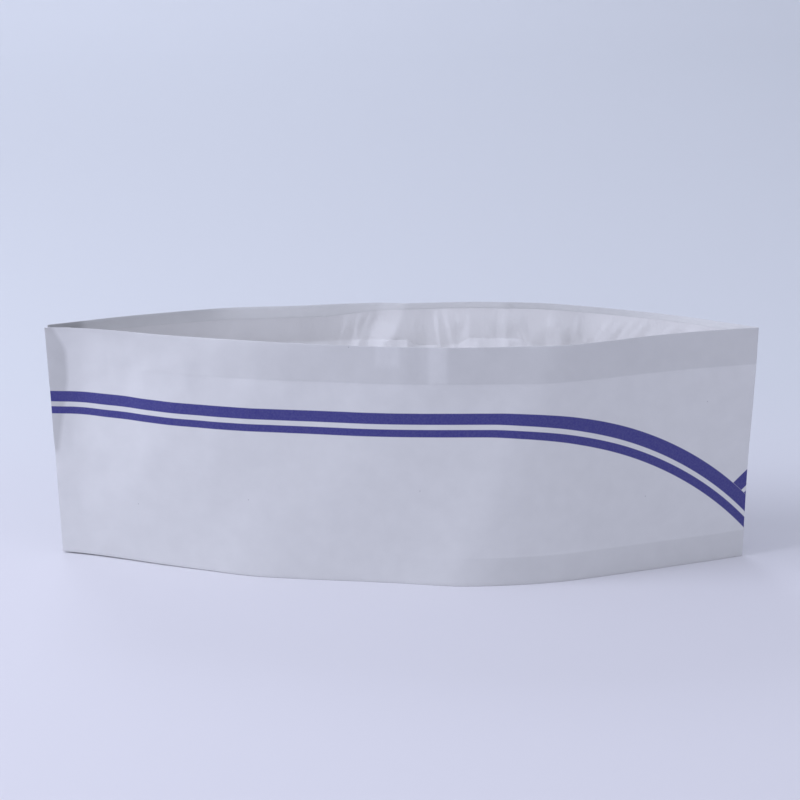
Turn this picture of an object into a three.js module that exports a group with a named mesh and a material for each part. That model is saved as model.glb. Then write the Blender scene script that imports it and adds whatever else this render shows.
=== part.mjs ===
import * as THREE from 'three';

// A flat-folding paper hat standing open on its lower edge. X runs from the back fold to the
// front fold, the near panel faces -Y, Z is up and the origin is under the middle of the hat.
// All sizes are millimetres.

// Printed band: one strip, hemmed along both edges, folded at the front and lapped at the back
const BAND_HEIGHT = 95;
const TOP_HEM = 15;
const BOTTOM_HEM = 11.5;
const WALL = 1;
const HEM_STEP = 0.8;
const FOLD_NOSE = 0.4;
const FOLD_SLIT = 0.4;

// Crown: thin tissue glued inside the top hem, hanging between the panels as a V-shaped pleat
const TISSUE = 1;
const GLUE_GAP = 0.3;
const GLUE_TOP = BAND_HEIGHT - 2.5;
const GLUE_FOOT = BAND_HEIGHT - TOP_HEM;
const TISSUE_SIDE = 44;
const TISSUE_BACK = 0.06;
const TISSUE_FRONT = 0.94;
const GATHER_PITCH = 16;
const GATHER_DEPTH = 1.2;
const GATHER_DRIFT = 1.3;

// Mesh fineness
const STEPS_PER_SECTION = 3;
const TISSUE_STEPS = 72;
const SIDE_STEPS = 4;

// Plan of the band from the back fold to the front fold: where each panel's outer face stands
// at the rim and at the foot
const PLAN_SECTIONS = [
  { x: -136, nearRim: -4.7, nearFoot: 1.9, farRim: -0.3, farFoot: 4.2 },
  { x: -125, nearRim: -5.2, nearFoot: -0.9, farRim: 4.5, farFoot: 7.7 },
  { x: -113, nearRim: -7.7, nearFoot: -4.9, farRim: 9.7, farFoot: 11.4 },
  { x: -95, nearRim: -13.3, nearFoot: -11.6, farRim: 16.2, farFoot: 17.0 },
  { x: -77, nearRim: -18.0, nearFoot: -17.5, farRim: 21.8, farFoot: 21.6 },
  { x: -60, nearRim: -21.8, nearFoot: -22.8, farRim: 25.1, farFoot: 24.8 },
  { x: -40, nearRim: -25.8, nearFoot: -26.1, farRim: 27.4, farFoot: 27.6 },
  { x: -20, nearRim: -28.9, nearFoot: -28.2, farRim: 30.6, farFoot: 29.9 },
  { x: 0, nearRim: -31.1, nearFoot: -30.5, farRim: 32.0, farFoot: 31.2 },
  { x: 22, nearRim: -31.1, nearFoot: -33.1, farRim: 33.1, farFoot: 31.9 },
  { x: 45, nearRim: -29.6, nearFoot: -31.3, farRim: 31.9, farFoot: 30.7 },
  { x: 61, nearRim: -28.3, nearFoot: -27.2, farRim: 29.7, farFoot: 28.4 },
  { x: 76, nearRim: -23.3, nearFoot: -23.3, farRim: 25.3, farFoot: 24.2 },
  { x: 95, nearRim: -15.6, nearFoot: -17.8, farRim: 18.0, farFoot: 16.9 },
  { x: 114, nearRim: -9.7, nearFoot: -11.1, farRim: 9.3, farFoot: 8.6 },
  { x: 126, nearRim: -6.9, nearFoot: -6.8, farRim: 2.4, farFoot: 3.1 },
  { x: 136, nearRim: -4.9, nearFoot: -3.0, farRim: -2.7, farFoot: -0.8 },
];
const FOLD_X = 136;

const planCurve = (column) =>
  new THREE.SplineCurve(PLAN_SECTIONS.map((row) => new THREE.Vector2(row.x, row[column])));

const NEAR = { rim: planCurve('nearRim'), foot: planCurve('nearFoot'), inward: 1 };
const FAR = { rim: planCurve('farRim'), foot: planCurve('farFoot'), inward: -1 };

// A point of a panel at share t from back to front and height z, inset from the outer face
function panelPoint(panel, t, z, inset) {
  const height = z / BAND_HEIGHT;
  const place = panel.foot.getPoint(t).lerp(panel.rim.getPoint(t), height);
  const run = panel.foot.getTangent(t).lerp(panel.rim.getTangent(t), height).normalize();
  const inward = new THREE.Vector2(-run.y, run.x).multiplyScalar(panel.inward * inset);
  return place.add(inward);
}

// The line halfway between the panels, which the inner faces never cross
function middleY(t, z) {
  return (panelPoint(NEAR, t, z, 0).y + panelPoint(FAR, t, z, 0).y) / 2;
}

// A point of the band's wall: its outer face, or the inner face kept clear of the other panel
function wallPoint(panel, t, z, inset) {
  const place = panelPoint(panel, t, z, inset);
  if (inset > 0) {
    const slit = middleY(t, z) - (panel.inward * FOLD_SLIT) / 2;
    place.y = panel.inward * Math.min(panel.inward * place.y, panel.inward * slit);
    place.x = THREE.MathUtils.clamp(place.x, WALL - FOLD_X, FOLD_X - WALL);
  }
  return new THREE.Vector3(place.x, place.y, z);
}

// The rounded nose of the back (t = 0) or front (t = 1) fold
function nosePoint(t, z, inset) {
  const end = Math.sign(t - 0.5);
  const reach = inset > 0 ? FOLD_X - WALL + FOLD_SLIT / 2 : FOLD_X + FOLD_NOSE;
  return new THREE.Vector3(end * reach, middleY(t, z), z);
}

// Joins rings of points into a closed skin; every ring has its points in the same order
function skin(rings, ringsClose) {
  const count = rings[0].length;
  const positions = rings.flat().flatMap((point) => point.toArray());
  const faces = [];
  const spans = ringsClose ? rings.length : rings.length - 1;
  for (let i = 0; i < spans; i += 1) {
    const here = i * count;
    const next = ((i + 1) % rings.length) * count;
    for (let j = 0; j < count; j += 1) {
      const k = (j + 1) % count;
      faces.push(here + j, next + j, next + k, here + j, next + k, here + k);
    }
  }
  if (!ringsClose) {
    const cap = (ring) =>
      THREE.ShapeUtils.triangulateShape(ring.map((p) => new THREE.Vector2(p.y, p.z)), []);
    const last = (rings.length - 1) * count;
    for (const [a, b, c] of cap(rings[0])) faces.push(a, c, b);
    for (const [a, b, c] of cap(rings.at(-1))) faces.push(last + a, last + b, last + c);
  }
  const geometry = new THREE.BufferGeometry();
  geometry.setAttribute('position', new THREE.Float32BufferAttribute(positions, 3));
  geometry.setIndex(faces);
  geometry.computeVertexNormals();
  return geometry;
}

// The band's wall profile as heights and insets, up the outer face and down the inner one
const WALL_PROFILE = [
  { z: 0, inset: 0 },
  { z: BOTTOM_HEM, inset: 0 },
  { z: GLUE_FOOT, inset: 0 },
  { z: BAND_HEIGHT, inset: 0 },
  { z: BAND_HEIGHT, inset: WALL + HEM_STEP },
  { z: GLUE_FOOT, inset: WALL + HEM_STEP },
  { z: GLUE_FOOT - HEM_STEP, inset: WALL },
  { z: BOTTOM_HEM + HEM_STEP, inset: WALL },
  { z: BOTTOM_HEM, inset: WALL + HEM_STEP },
  { z: 0, inset: WALL + HEM_STEP },
];

function bandGeometry() {
  const steps = (PLAN_SECTIONS.length - 1) * STEPS_PER_SECTION;
  const shares = Array.from({ length: steps + 1 }, (_, i) => i / steps);
  const ring = (place) => WALL_PROFILE.map(({ z, inset }) => place(z, inset));
  const rings = [
    ...shares.map((t) => ring((z, inset) => wallPoint(NEAR, t, z, inset))),
    ring((z, inset) => nosePoint(1, z, inset)),
    ...shares.toReversed().map((t) => ring((z, inset) => wallPoint(FAR, t, z, inset))),
    ring((z, inset) => nosePoint(0, z, inset)),
  ];
  return skin(rings, true);
}

// One side of the V pleat, from the foot of its glue line down to the crease, with its gathers
function pleatSide(knee, crease, widest) {
  const run = crease.clone().sub(knee);
  const phase = (2 * Math.PI * knee.x) / GATHER_PITCH;
  const wave = Math.sin(phase + GATHER_DRIFT * Math.sin(phase / 4));
  const depth = (GATHER_DEPTH * wave * Math.abs(run.y)) / widest;
  const upward = new THREE.Vector3(0, -run.z, run.y).normalize().multiplyScalar(Math.sign(run.y));
  return Array.from({ length: SIDE_STEPS }, (_, i) => {
    const share = i / SIDE_STEPS;
    const point = knee.clone().addScaledVector(run, share);
    return point.addScaledVector(upward, depth * Math.sin(Math.PI * share));
  });
}

// One face of the crown's cross-section: glued flap, V pleat and glued flap. The lower face
// has a thickness of 0, and the upper one lies the tissue's thickness inside it.
function tissueLine(t, widest, thickness) {
  const inset = WALL + HEM_STEP + GLUE_GAP;
  const glued = (panel, z) => {
    const place = panelPoint(panel, t, z, inset);
    return new THREE.Vector3(place.x, place.y + panel.inward * thickness, z);
  };
  const knees = [glued(NEAR, GLUE_FOOT), glued(FAR, GLUE_FOOT)];
  const crease = knees[0].clone().lerp(knees[1], 0.5);
  const halfGap = crease.y - knees[0].y + thickness;
  const drop = Math.sqrt(TISSUE_SIDE ** 2 - halfGap ** 2);
  const lift = (thickness * TISSUE_SIDE) / halfGap;
  crease.z += lift - drop;
  for (const knee of knees) knee.z += lift - (thickness * drop) / halfGap;
  return [
    glued(NEAR, GLUE_TOP),
    ...pleatSide(knees[0], crease, widest),
    crease,
    ...pleatSide(knees[1], crease, widest).toReversed(),
    glued(FAR, GLUE_TOP),
  ];
}

// One closed cross-section of the crown tissue, seen along X
function tissueSection(t, widest) {
  return [...tissueLine(t, widest, TISSUE), ...tissueLine(t, widest, 0).toReversed()];
}

function crownGeometry() {
  const widest = Math.max(...PLAN_SECTIONS.map((row) => row.farRim));
  const sections = Array.from({ length: TISSUE_STEPS + 1 }, (_, i) =>
    tissueSection(THREE.MathUtils.lerp(TISSUE_BACK, TISSUE_FRONT, i / TISSUE_STEPS), widest),
  );
  return skin(sections, false);
}

const hat = new THREE.Group();

// White machine-glazed paper
const band = new THREE.Mesh(
  bandGeometry(),
  new THREE.MeshStandardMaterial({ color: 0xe6e7ef, roughness: 0.8, metalness: 0 }),
);
band.name = 'side_band';
hat.add(band);

// Thin white tissue
const crown = new THREE.Mesh(
  crownGeometry(),
  new THREE.MeshStandardMaterial({ color: 0xf3f1f4, roughness: 0.9, metalness: 0 }),
);
crown.name = 'crown_tissue';
hat.add(crown);

export default hat;
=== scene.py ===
"""A white paper kitchen hat with two printed blue stripes, standing open on its lower edge.

Each piece starts as the flat sheet it is cut from, is scored along its fold lines, and is then
folded by moving every point of the sheet to its place on the standing hat. Paper distances and
heights are in millimetres, as on the drawing of the hat, and meshes are written in metres.
"""

import logging
import math
from collections.abc import Callable, Sequence
from dataclasses import dataclass, replace
from enum import Enum
from typing import Any

import bpy
import numpy as np
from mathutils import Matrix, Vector
from mathutils.geometry import delaunay_2d_cdt


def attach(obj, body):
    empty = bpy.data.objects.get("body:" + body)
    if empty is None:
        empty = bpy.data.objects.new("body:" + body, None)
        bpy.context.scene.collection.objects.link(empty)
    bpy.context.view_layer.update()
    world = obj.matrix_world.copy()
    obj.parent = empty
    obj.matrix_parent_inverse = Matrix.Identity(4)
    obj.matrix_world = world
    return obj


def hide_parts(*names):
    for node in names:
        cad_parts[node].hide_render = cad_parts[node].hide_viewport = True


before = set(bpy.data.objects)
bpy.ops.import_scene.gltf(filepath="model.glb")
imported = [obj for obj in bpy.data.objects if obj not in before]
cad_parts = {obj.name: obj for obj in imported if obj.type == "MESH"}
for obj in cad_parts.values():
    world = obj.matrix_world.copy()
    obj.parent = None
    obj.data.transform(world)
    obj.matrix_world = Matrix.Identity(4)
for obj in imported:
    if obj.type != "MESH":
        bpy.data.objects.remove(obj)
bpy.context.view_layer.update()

MM = 0.001
LOG = logging.getLogger("paper_hat")

# The band's strip in millimetres: a panel, the standing height, the glued lap and both hems.
PANEL = 280.0
BAND_HEIGHT = 95.0
LAP = 8.0
FOOT_HEM = 11.5
TOP_HEM = 15.0
STRIP_LENGTH = 2 * PANEL + LAP
STRIP_WIDTH = FOOT_HEM + BAND_HEIGHT + TOP_HEM

# The height of the top hem's raw edge, where a relief step and painted shade show it through the sheet.
TOP_HEM_EDGE = 80.3

# A mixing node's sockets by number, because several of them share a name.
FLOAT_A, FLOAT_B = 2, 3
COLOUR_A, COLOUR_B = 6, 7
COLOUR_OUT = 2

Array = np.ndarray


class Slot(Enum):
    """The record's material slots."""

    BAND = "band_paper"
    CROWN = "crown_tissue"


def linear(hex_colour: str) -> tuple[float, float, float, float]:
    """Turns an sRGB hex colour to linear light.

    Args:
        hex_colour: The colour as six hex digits after a hash.

    Returns:
        Red, green, blue and an alpha of one.
    """
    parts = [int(hex_colour[i : i + 2], 16) / 255 for i in (1, 3, 5)]
    light = [c / 12.92 if c <= 0.04045 else ((c + 0.055) / 1.055) ** 2.4 for c in parts]
    return (*light, 1.0)


def through(knots: Sequence[float], values: Sequence[float]) -> Callable[[Array], Array]:
    """Makes a smooth curve through a few values.

    Args:
        knots: Where the values are, in rising order.
        values: The value at each knot.

    Returns:
        A function that gives the curve's value anywhere between the knots.
    """
    x, y = np.asarray(knots, float), np.asarray(values, float)
    slope = np.gradient(y, x)

    def value(at: Array) -> Array:
        """Follows the cubic between the two knots on either side of each place.

        Args:
            at: The places.

        Returns:
            The curve's value at each.
        """
        i = np.clip(np.searchsorted(x, at) - 1, 0, len(x) - 2)
        gap = x[i + 1] - x[i]
        t = (at - x[i]) / gap
        rise = y[i + 1] - y[i]
        start, end = slope[i] * gap - rise, rise - slope[i + 1] * gap
        return y[i] + t * rise + t * (1 - t) * ((1 - t) * start + t * end)

    return value


@dataclass(frozen=True)
class Span:
    """A stretch of some measure over which a value changes.

    Attributes:
        start: The measure where the change begins.
        end: The measure where it is complete.
        before: The value up to the start.
        after: The value from the end on.
    """

    start: float
    end: float
    before: float = 0.0
    after: float = 1.0

    def moved(self, by: float) -> "Span":
        """The same change, further along."""
        return replace(self, start=self.start + by, end=self.end + by)

    def smooth(self, measure: Array) -> Array:
        """The value at each measure, with a gentle start and end."""
        t = np.clip((measure - self.start) / (self.end - self.start), 0, 1)
        return self.before + (self.after - self.before) * t * t * (3 - 2 * t)

    def of(self, measure: Any) -> dict[str, Any]:
        """The sockets of a shader's range over this stretch of the measure."""
        ends = {"From Min": self.start, "From Max": self.end}
        return {"Value": measure, **ends, "To Min": self.before, "To Max": self.after}


def unit(vectors: Array) -> Array:
    """The same directions at length one."""
    return vectors / np.linalg.norm(vectors, axis=-1, keepdims=True)


@dataclass(frozen=True)
class Waves:
    """A smooth random relief, made of plane waves with seeded lengths, directions and phases."""

    shortest: float
    longest: float
    height: float
    seed: int
    spread: float = math.pi
    count: int = 28

    def at(self, a: Array, b: Array) -> Array:
        """The relief at each place of a sheet.

        Args:
            a: Distances along the sheet.
            b: Distances across it.

        Returns:
            Heights in millimetres, with the field's height as their usual size.
        """
        rng = np.random.default_rng(self.seed)
        lengths = rng.uniform(self.shortest, self.longest, self.count)
        turns = rng.uniform(-self.spread / 2, self.spread / 2, self.count)
        phases = rng.uniform(0, 2 * math.pi, self.count)
        total = np.zeros(np.broadcast(a, b).shape)
        for length, turn, phase in zip(lengths, turns, phases):
            run = (a * math.cos(turn) + b * math.sin(turn)) / length
            total += np.sin(2 * math.pi * run + phase)
        return self.height * total / math.sqrt(self.count / 2)


@dataclass(frozen=True)
class Facets:
    """A crumpled relief: flat facets between scattered points, with crisp creases where they meet.

    Attributes:
        length: How far along the sheet the points are scattered, in millimetres.
        width: How far across it.
        size: The facets' usual width.
        stretch: How much longer they are across the sheet than along it.
        height: The usual height of the points.
        seed: Seed of the places and heights.
        scatter: How far a point lies from its place in an even grid, as a share of the spacing.
        tolerance: Points nearer to each other than this count as one.
    """

    length: float
    width: float
    size: float
    stretch: float
    height: float
    seed: int
    scatter: float = 0.42
    tolerance: float = 1e-5

    def at(self, a: Array, b: Array) -> Array:
        """The relief at each place of a sheet.

        Args:
            a: Distances along the sheet.
            b: Distances across it.

        Returns:
            Heights in millimetres.
        """
        rng = np.random.default_rng(self.seed)
        along = np.arange(-self.size, self.length + 2 * self.size, self.size)
        across = np.arange(-1, self.width / self.size / self.stretch + 2) * self.size * self.stretch
        grid = np.stack(np.meshgrid(along, across), axis=-1).reshape(-1, 2)
        jitter = rng.uniform(-self.scatter, self.scatter, grid.shape)
        jitter *= (self.size, self.size * self.stretch)
        heights = rng.normal(0, self.height, len(grid))
        scattered = [Vector(point) for point in grid + jitter]
        points, _, faces, sources, *_ = delaunay_2d_cdt(scattered, [], [], 0, self.tolerance)
        level = np.zeros(np.shape(a))
        for face in faces:
            x, y = (np.array([points[i][k] for i in face]) for k in (0, 1))
            z = np.array([heights[sources[i][0]] for i in face])
            area = (x[1] - x[0]) * (y[2] - y[0]) - (x[2] - x[0]) * (y[1] - y[0])
            near = (a >= x.min()) & (a <= x.max()) & (b >= y.min()) & (b <= y.max())
            at_a, at_b = a[near], b[near]
            second = ((at_a - x[0]) * (y[2] - y[0]) - (x[2] - x[0]) * (at_b - y[0])) / area
            third = ((x[1] - x[0]) * (at_b - y[0]) - (at_a - x[0]) * (y[1] - y[0])) / area
            inside = (second >= 0) & (third >= 0) & (second + third <= 1)
            value = z[0] + second * (z[1] - z[0]) + third * (z[2] - z[0])
            level[np.flatnonzero(near)[inside]] = value[inside]
        return level


@dataclass(frozen=True)
class Pleat:
    """A narrow fold that leans out slowly and drops back at once.

    Attributes:
        along: Paper distance from the back fold to where it starts, in millimetres.
        width: How wide its slow side is.
        fall: How wide its quick side is.
        rise: How far it stands out, into the hat.
        lean: How far its start moves along for each millimetre of height.
        low: The height where it fades in.
        high: The height where it has faded out.
        taper: How far below that height it has its full depth.
        level: The height where its start is given.
        fade: How gently it fades in.
    """

    along: float
    width: float
    fall: float
    rise: float
    lean: float = 0.0
    low: float = 40.0
    high: float = 92.0
    taper: float = 2.0
    level: float = 80.0
    fade: Span = Span(-8, 8)

    def at(self, along: Array, height: Array) -> Array:
        """How far the pleat stands out.

        Args:
            along: Paper distances.
            height: Heights above the foot.

        Returns:
            Millimetres at each place.
        """
        from_start = along - self.along - self.lean * (height - self.level)
        slow = np.clip(from_start / self.width, 0, 1)
        quick = np.clip((from_start - self.width) / self.fall, 0, 1)
        shown = self.fade.moved(self.low).smooth(height)
        shown *= np.clip((self.high - height) / self.taper, 0, 1)
        return self.rise * (slow - quick) * shown


@dataclass(frozen=True)
class Crease:
    """A soft straight ridge across the near panel, or a valley where its rise is negative.

    Attributes:
        start: Paper distance and height of one end, in millimetres.
        end: Paper distance and height of the other end.
        rise: How far the crest stands out from the hat.
        width: How far to either side the paper is pulled along.
        fade_in: Where it fades in, as a share of its length.
        fade_out: Where it fades out.
    """

    start: tuple[float, float]
    end: tuple[float, float]
    rise: float
    width: float
    fade_in: Span = Span(-0.3, 0.25)
    fade_out: Span = Span(0.75, 1.3, before=1, after=0)

    def at(self, along: Array, height: Array) -> Array:
        """How far the crease stands out.

        Args:
            along: Paper distances.
            height: Heights above the foot.

        Returns:
            Millimetres at each place.
        """
        run = np.subtract(self.end, self.start)
        length = math.hypot(*run)
        ahead, across = run / length, (-run[1] / length, run[0] / length)
        a, h = along - self.start[0], height - self.start[1]
        far = (a * ahead[0] + h * ahead[1]) / length
        side = np.abs(a * across[0] + h * across[1])
        shown = self.fade_in.smooth(far) * self.fade_out.smooth(far)
        return self.rise * shown * np.exp(-side / self.width)


NEAR_CREASES = (
    Crease((36, 79), (66, 88), rise=0.45, width=5),
    Crease((20, 74), (34, 82), rise=-0.35, width=5),
    Crease((28, 88), (38, 92), rise=-0.3, width=4),
    Crease((10, 72), (16, 78), rise=0.25, width=3),
    Crease((6, 30), (18, 8), rise=-0.2, width=9),
    Crease((140, 92), (147, 72), rise=0.25, width=4),
    Crease((133, 92), (137, 80), rise=-0.2, width=3),
)


@dataclass(frozen=True)
class PlanRow:
    """Where the standing band's outer faces are at one distance along the hat."""

    x: float
    near_rim: float
    near_foot: float
    far_rim: float
    far_foot: float


NEAR_PLEATS = (Pleat(146, width=9, fall=60, rise=0.8, low=80, high=97),)

WALL_PLEATS = (
    Pleat(56, width=14, fall=16, rise=-0.55, lean=0.3, low=0, high=200),
    Pleat(125.5, width=9.5, fall=26, rise=1.7, lean=0.35, low=76, high=200),
    Pleat(173.5, width=6, fall=2.5, rise=0.4, low=88, high=200),
)

PLAN = (
    PlanRow(-136, near_rim=-4.7, near_foot=0.6, far_rim=-0.3, far_foot=3.2),
    PlanRow(-125, near_rim=-5.2, near_foot=-2.0, far_rim=4.5, far_foot=6.9),
    PlanRow(-113, near_rim=-7.7, near_foot=-5.7, far_rim=10.1, far_foot=10.6),
    PlanRow(-95, near_rim=-13.3, near_foot=-12.0, far_rim=16.7, far_foot=16.4),
    PlanRow(-77, near_rim=-18.0, near_foot=-17.7, far_rim=22.3, far_foot=21.4),
    PlanRow(-60, near_rim=-21.8, near_foot=-22.9, far_rim=25.5, far_foot=24.8),
    PlanRow(-40, near_rim=-25.8, near_foot=-26.1, far_rim=27.9, far_foot=27.6),
    PlanRow(-20, near_rim=-28.9, near_foot=-28.2, far_rim=31.2, far_foot=29.9),
    PlanRow(0, near_rim=-31.1, near_foot=-30.5, far_rim=32.9, far_foot=31.2),
    PlanRow(22, near_rim=-31.1, near_foot=-33.4, far_rim=33.7, far_foot=31.9),
    PlanRow(45, near_rim=-29.6, near_foot=-31.8, far_rim=33.1, far_foot=30.7),
    PlanRow(61, near_rim=-28.3, near_foot=-28.9, far_rim=30.9, far_foot=28.4),
    PlanRow(76, near_rim=-23.3, near_foot=-24.4, far_rim=26.2, far_foot=24.2),
    PlanRow(95, near_rim=-15.6, near_foot=-17.8, far_rim=18.8, far_foot=16.9),
    PlanRow(114, near_rim=-9.7, near_foot=-11.1, far_rim=9.7, far_foot=8.6),
    PlanRow(126, near_rim=-6.6, near_foot=-6.8, far_rim=2.4, far_foot=2.8),
    PlanRow(136, near_rim=-4.6, near_foot=-2.9, far_rim=-3.5, far_foot=-1.7),
)


@dataclass(frozen=True)
class EdgePath:
    """The band's rim or foot seen from above, as one line run by paper distance.

    It goes along the near panel from the back, round the front fold, back along the far panel,
    round the back fold and into the glued lap inside the near panel.

    Attributes:
        near: The plan's column for the near panel.
        far: Its column for the far panel.
        back: X of the near panel's raw edge.
        front: X of the front fold.
        panel: One panel's length along the paper.
        lap: The glued lap's length.
        lap_depth: How far inside the near panel the lap lies.
        front_radius: How far the front fold's oval reaches.
        back_radius: How far the back fold's oval reaches.
        back_inset: How far inside the raw edge the back fold ends.
        fineness: The spacing of the line's points.
        turn_points: How many points each fold has.
        least_step: A point nearer than this to the one before is left out.
    """

    near: str
    far: str
    back: float
    front: float
    panel: float
    lap: float
    lap_depth: float
    front_radius: float = 0.5
    back_radius: float = 1.6
    back_inset: float = 0.4
    fineness: float = 0.1
    turn_points: int = 31
    least_step: float = 1e-6

    def points(self) -> tuple[Array, Array]:
        """The line's points and the paper distance at each.

        Returns:
            An array of X and Y, and an array of distances from the near panel's raw edge.
        """
        knots = [row.x for row in PLAN]
        near = through(knots, [getattr(row, self.near) for row in PLAN])
        far = through(knots, [getattr(row, self.far) for row in PLAN])
        nose, turn = self.front - self.front_radius, self.back + self.back_inset + self.back_radius
        on_near = np.arange(self.back, nose, self.fineness)
        on_far = np.arange(nose, turn, -self.fineness)
        on_lap = np.arange(turn, turn + self.lap, self.fineness)
        quarter = np.linspace(-math.pi / 2, math.pi / 2, self.turn_points)
        front = self.turn(nose, near(nose), far(nose), self.front_radius, quarter)
        back = self.turn(turn, far(turn), near(turn) + self.lap_depth, -self.back_radius, quarter)
        stretches = (
            np.column_stack((on_near, near(on_near))),
            front,
            np.column_stack((on_far, far(on_far))),
            back,
            np.column_stack((on_lap, near(on_lap) + self.lap_depth)),
        )
        line = np.concatenate(stretches)
        run = np.concatenate(([0.0], np.cumsum(np.linalg.norm(np.diff(line, axis=0), axis=1))))
        keep = np.concatenate(([True], np.diff(run) > self.least_step))
        line, run = line[keep], run[keep]
        mid_front = run[np.argmax(line[:, 0])]
        mid_back = run[len(on_near) + np.argmin(line[len(on_near) :, 0])]
        marks = [0, mid_front, mid_back, run[-1]]
        return line, np.interp(run, marks, [0, self.panel, 2 * self.panel, 2 * self.panel + self.lap])

    @staticmethod
    def turn(x: float, start: float, end: float, radius: float, angles: Array) -> Array:
        """Half an oval that joins two lines.

        Args:
            x: Where both lines stop.
            start: The Y of the first line's end.
            end: The Y of the second line's end.
            radius: How far the oval reaches past x, with its sign.
            angles: The angles of its points.

        Returns:
            The oval's points.
        """
        middle, half = (start + end) / 2, (end - start) / 2
        return np.column_stack((x + radius * np.cos(angles), middle + half * np.sin(angles)))


@dataclass(frozen=True)
class BentStrip:
    """The shape of the standing band: every paper distance and height as a place in space.

    Attributes:
        back_rim: X of the rim's back end. The foot's and the front's follow.
        bend_foot: Paper distance where the near panel's soft bend meets the foot.
        bend_rim: Paper distance where it meets the rim.
        foot_lift: How far the foot stands off the floor at the back fold.
        lift_reach: The paper distance over which it comes down.
        lift_power: How early in that distance it comes down.
        press_width: How wide the pressed strip along the back is.
        press_depth: How far its raw edge stands out.
        press_low: Where it fades in, by height.
        press_high: Where it fades out.
        bow_knots: Paper distances of the bow at the back end, at the height bow_level.
        bow_heights: How far the bow stands out at each of them.
        bow_lean: How far it moves along for each millimetre of height.
        window_peak: Scale of the bow's fading towards the rim and the foot.
        window_powers: How fast it fades towards the foot and towards the rim.
        cockle_edge: The size of the cockle at the rim and the foot.
        cockle_middle: Four times how much it grows half way up.
        rumple_fades: Where the back end's rumple ends, by paper distance.
        ripple_level: The height where the top hem's ripple is strongest.
        ripple_reach: The height over which it fades.
        back_turn: Where the far panel takes on the raw edge's bow, before the back fold.
        hem_edges: Heights of the two hems' raw edges.
        hem_step: How far the sheet stands out over a hem.
        hem_blur: How soft that step is.
        top_hem_shows: Where the top hem's step begins, by paper distance.
        foot_hem_shows: Where the foot hem's step begins.
    """

    panel: float = PANEL
    height: float = BAND_HEIGHT
    lap: float = LAP
    lap_depth: float = 0.8
    back_rim: float = -136.4
    back_foot: float = -135.2
    front_rim: float = 136.9
    front_foot: float = 136.0
    bend_foot: float = 164.0
    bend_rim: float = 201.0
    foot_lift: float = 0.55
    lift_reach: float = 105.0
    lift_power: float = 1.5
    press_width: float = 7.5
    press_depth: float = 0.6
    press_low: Span = Span(38, 52)
    press_high: Span = Span(86, 95, before=1, after=0)
    bow_knots: tuple[float, ...] = (-1, 10, 21, 31, 41, 49, 53, 61, 80, 90, 99, 126, 162, 281)
    bow_heights: tuple[float, ...] = (-1.5, -1, -0.25, 0.4, 1.1, 1.7, 1.75, 1.5, 0.9, 0, -0.5, -0.3, 0, 0)
    bow_lean: float = 0.5
    bow_level: float = 62.0
    window_peak: float = 3.14
    window_powers: tuple[float, float] = (1.2, 0.6)
    cockle_edge: float = 0.3
    cockle_middle: float = 2.8
    rumple_fades: Span = Span(40, 110, before=1, after=0)
    ripple_level: float = 78.0
    ripple_reach: float = 8.0
    back_turn: Span = Span(-12, 0)
    hem_edges: tuple[float, float] = (FOOT_HEM, TOP_HEM_EDGE)
    hem_step: float = 0.08
    hem_blur: Span = Span(-0.4, 0.4)
    top_hem_shows: Span = Span(36, 58)
    foot_hem_shows: Span = Span(160, 200)
    cockle: Waves = Waves(38, 95, 0.16, seed=4)
    rumple: Waves = Waves(14, 34, 0.14, seed=8)
    hem_ripple: Waves = Waves(9, 17, 0.09, seed=11, spread=0.5)
    creases: tuple[Crease, ...] = NEAR_CREASES
    near_pleats: tuple[Pleat, ...] = NEAR_PLEATS
    far_pleats: tuple[Pleat, ...] = WALL_PLEATS

    def edge(self, level: str, back: float, front: float) -> tuple[Array, Array]:
        """The path of the rim or the foot, as points and paper distances."""
        path = EdgePath(f"near_{level}", f"far_{level}", back, front, self.panel, self.lap, self.lap_depth)
        return path.points()

    def rulings(self, along: Array, share: Array) -> list[Array]:
        """Finds the straight line of the bent near panel that runs through each place.

        The near panel's soft bend leans: it runs from the foot up to a place nearer the front.

        Args:
            along: Paper distances.
            share: Heights as a share of the band's height.

        Returns:
            The paper distances at which the lines meet the foot and the rim.
        """
        bend = self.bend_foot + share * (self.bend_rim - self.bend_foot)
        before = along / bend
        after = (along - bend) / (self.panel - bend)
        meets = []
        for end in (self.bend_foot, self.bend_rim):
            on_near = np.where(along < bend, before * end, end + after * (self.panel - end))
            meets.append(np.where(along < self.panel, on_near, along))
        return meets

    def relief(self, along: Array, height: Array) -> Array:
        """How far the paper stands proud of its plain bends.

        Args:
            along: Paper distances.
            height: Heights above the foot.

        Returns:
            Millimetres outwards at each place.
        """
        full = 2 * self.panel
        same = np.where(along > full, along - full, along)
        on_near = same < self.panel
        proud = np.where(on_near, self.near_relief(same, height), 0)
        proud += self.near_relief(np.zeros_like(same), height) * self.back_turn.moved(full).smooth(same)
        share = height / self.height
        from_ripple = (height - self.ripple_level) / self.ripple_reach
        proud += self.hem_ripple.at(same, height) * np.exp(-(from_ripple**2))
        proud += self.cockle.at(same, height) * (self.cockle_edge + self.cockle_middle * share * (1 - share))
        over_foot, over_top = (self.hem_blur.moved(edge).smooth(height) for edge in self.hem_edges)
        hems = over_top * self.top_hem_shows.smooth(same)
        hems += (1 - over_foot) * self.foot_hem_shows.smooth(same)
        proud += self.hem_step * np.where(on_near, hems, 0)
        inward = sum(pleat.at(full - same, height) for pleat in self.far_pleats)
        return proud - np.where(on_near, 0, inward)

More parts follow.
